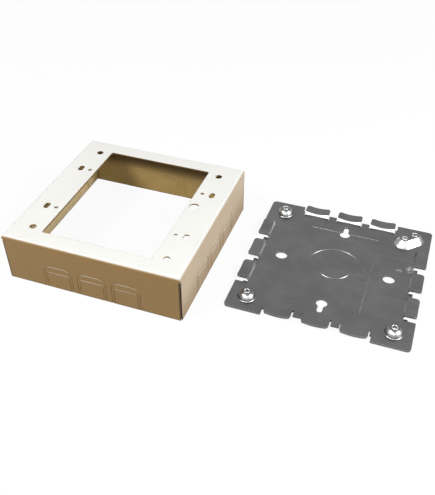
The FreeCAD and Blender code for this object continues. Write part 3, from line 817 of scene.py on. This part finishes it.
def makeThreads():
    values = threads
    tree = makeThreadTree()
    plateBody, coverBody = nodes["base_plate"]["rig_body"], nodes["cover_shell"]["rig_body"]
    bossDepth, deviceDepth = values["bossDepth"], values["deviceDepth"]
    bossSpots = [(x, y, layout["bossCrown"] - bossDepth) for x, y in layout["bossSpots"]]
    bossThread = threadShape(values["bossRadius"], bossDepth)
    grow("boss_threads", spotMesh(bossSpots), tree, bossThread, plateBody)
    centreX, centreY = layout["coverCentre"]
    reachX, reachY = values["deviceSpots"]
    deviceSpots = [(centreX + reachX * sideX, centreY + reachY * sideY, layout["coverTop"] - deviceDepth)
                   for sideX in (-1.0, 1.0) for sideY in (-1.0, 1.0)]
    deviceThread = threadShape(values["deviceRadius"], deviceDepth)
    grow("device_threads", spotMesh(deviceSpots), tree, deviceThread, coverBody)
    lipSpots = [(x, y, layout["bossCrown"]) for x, y in layout["bossSpots"]]
    lip = {"Radius": values["lipRadius"], "Thick": values["lipThick"], "Finish": baredGleam}
    grow("boss_hole_lips", spotMesh(lipSpots), makeLipTree(), lip, plateBody)


makeThreads()
print("threads and lips made")


# Floor: white where the camera looks, with a faint shadow; pale card for the light that bounces
floorCard = {
    "half": 40.0,
    "drop": 0.3 * mm,       # below the object
    "bounce": (0.38, 0.38, 0.38, 1.0),
    "shown": (1.0, 1.0, 1.0, 1.0),
    "shownGlow": 0.92,      # the rest of what the camera sees is the card with its shadow
    "shadowReach": (0.3, 0.8),      # from the aim; beyond this the card is plain white
    "mirroredGlow": 0.45,           # what metal sees of it
}


def seenDirectly(tree):
    path = Wire.make(tree, "ShaderNodeLightPath")
    clear = path.pick("Is Glossy Ray").most(path.pick("Is Transmission Ray"))
    return path.pick("Is Camera Ray").most(clear)


def makeFloor():
    values = floorCard
    material, tree = newMaterial("floorCard")
    seen = seenDirectly(tree)
    colour = mixColour(tree, seen, values["bounce"], values["shown"])
    card = Wire.make(tree, "ShaderNodeBsdfDiffuse", None, {"Color": colour})
    white = Wire.make(tree, "ShaderNodeEmission", None, {"Color": values["shown"], "Strength": 1.0})
    camera = Wire.make(tree, "ShaderNodeLightPath").pick("Is Camera Ray")
    place = Wire.make(tree, "ShaderNodeTexCoord").pick("Object")
    spot = {0: place, 1: studio["aim"]}
    away = Wire.make(tree, "ShaderNodeVectorMath", {"operation": "DISTANCE"}, spot).pick("Value")
    beyond = away.eased(*values["shadowReach"])
    glow = camera * (beyond * (1.0 - values["shownGlow"]) + values["shownGlow"])
    share = glow.most(seen * values["mirroredGlow"])
    both = Wire.make(tree, "ShaderNodeMixShader", None, {0: share, 1: card, 2: white})
    Wire.make(tree, "ShaderNodeOutputMaterial", None, {"Surface": both})
    half, low = values["half"], -values["drop"]
    mesh = bpy.data.meshes.new("floor")
    corners = [(-half, -half, low), (half, -half, low), (half, half, low), (-half, half, low)]
    mesh.from_pydata(corners, [], [(0, 1, 2, 3)])
    addPiece("floor", mesh, material)


# Light: a low soft box to the right, one to the left of the camera, a faint one overhead, and two
# cards that are seen only as gleams
studio = {
    "room": 0.12,
    "aim": (-0.07, -0.01, 0.015),
    "boxes": {      # direction, distance, width, height, level at the aim, colour, lights only gloss
        "rightBox": ((0.86, -0.10, 0.50), 0.8, 0.5, 0.45, 1.12, (0.96, 1.0, 1.06), False),
        "leftBox": ((-0.473, -0.473, 0.743), 0.9, 0.45, 0.34, 0.74, (1.0, 1.0, 1.0), False),
        "overheadBox": ((0.10, 0.30, 0.95), 1.0, 1.2, 1.2, 0.04, (1.0, 1.0, 1.0), False),
        "frontCard": ((-0.219, -0.757, 0.616), 1.1, 1.75, 0.56, 1.28, (1.0, 1.0, 1.0), True),
        "rightCard": ((0.85, -0.22, 0.48), 1.1, 0.8, 0.60, 0.52, (1.0, 1.0, 1.0), True),
    },
}


def makeBox(name, direction, distance, width, height, level, colour, glossOnly):
    lamp = bpy.data.lights.new(name, "AREA")
    lamp.shape = "RECTANGLE"
    lamp.size = width
    lamp.size_y = height
    lamp.color = colour
    lamp.energy = level * (math.pi * distance) ** 2
    holder = bpy.data.objects.new(name, lamp)
    away = Vector(direction).normalized()
    holder.location = Vector(studio["aim"]) + away * distance
    holder.rotation_mode = "QUATERNION"
    holder.rotation_quaternion = (-away).to_track_quat("-Z", "Y")
    holder.visible_camera = False
    holder.visible_diffuse = not glossOnly
    scene.collection.objects.link(holder)


def makeRoom():
    world = bpy.data.worlds.new("room")
    scene.world = world
    world.use_nodes = True
    tree = world.node_tree
    tree.nodes.clear()
    strength = seenDirectly(tree) * (1.0 - studio["room"]) + studio["room"]
    sockets = {"Color": (1.0, 1.0, 1.0, 1.0), "Strength": strength}
    back = Wire.make(tree, "ShaderNodeBackground", None, sockets)
    Wire.make(tree, "ShaderNodeOutputWorld", None, {"Surface": back})


makeFloor()
makeRoom()
for boxName, boxValues in studio["boxes"].items():
    makeBox(boxName, *boxValues)
print("floor and light set")


# Camera at the photograph's angle
photoCamera = {
    "eye": (39.12 * mm, -333.36 * mm, 294.93 * mm),
    "forward": (-0.25831, 0.71782, -0.64653),
    "focalPixels": 672.85,
    "longSide": 495.0,
    "sensor": 36.0,
    "clip": (0.01, 120.0),
}


def makeCamera():
    values = photoCamera
    data = bpy.data.cameras.new("photoCamera")
    data.sensor_width = values["sensor"]
    data.lens = values["focalPixels"] * values["sensor"] / values["longSide"]
    data.clip_start, data.clip_end = values["clip"]
    holder = bpy.data.objects.new("photoCamera", data)
    holder.location = values["eye"]
    holder.rotation_mode = "QUATERNION"
    holder.rotation_quaternion = Vector(values["forward"]).to_track_quat("-Z", "Y")
    scene.collection.objects.link(holder)
    scene.camera = holder


makeCamera()
scene.view_settings.view_transform = "Standard"
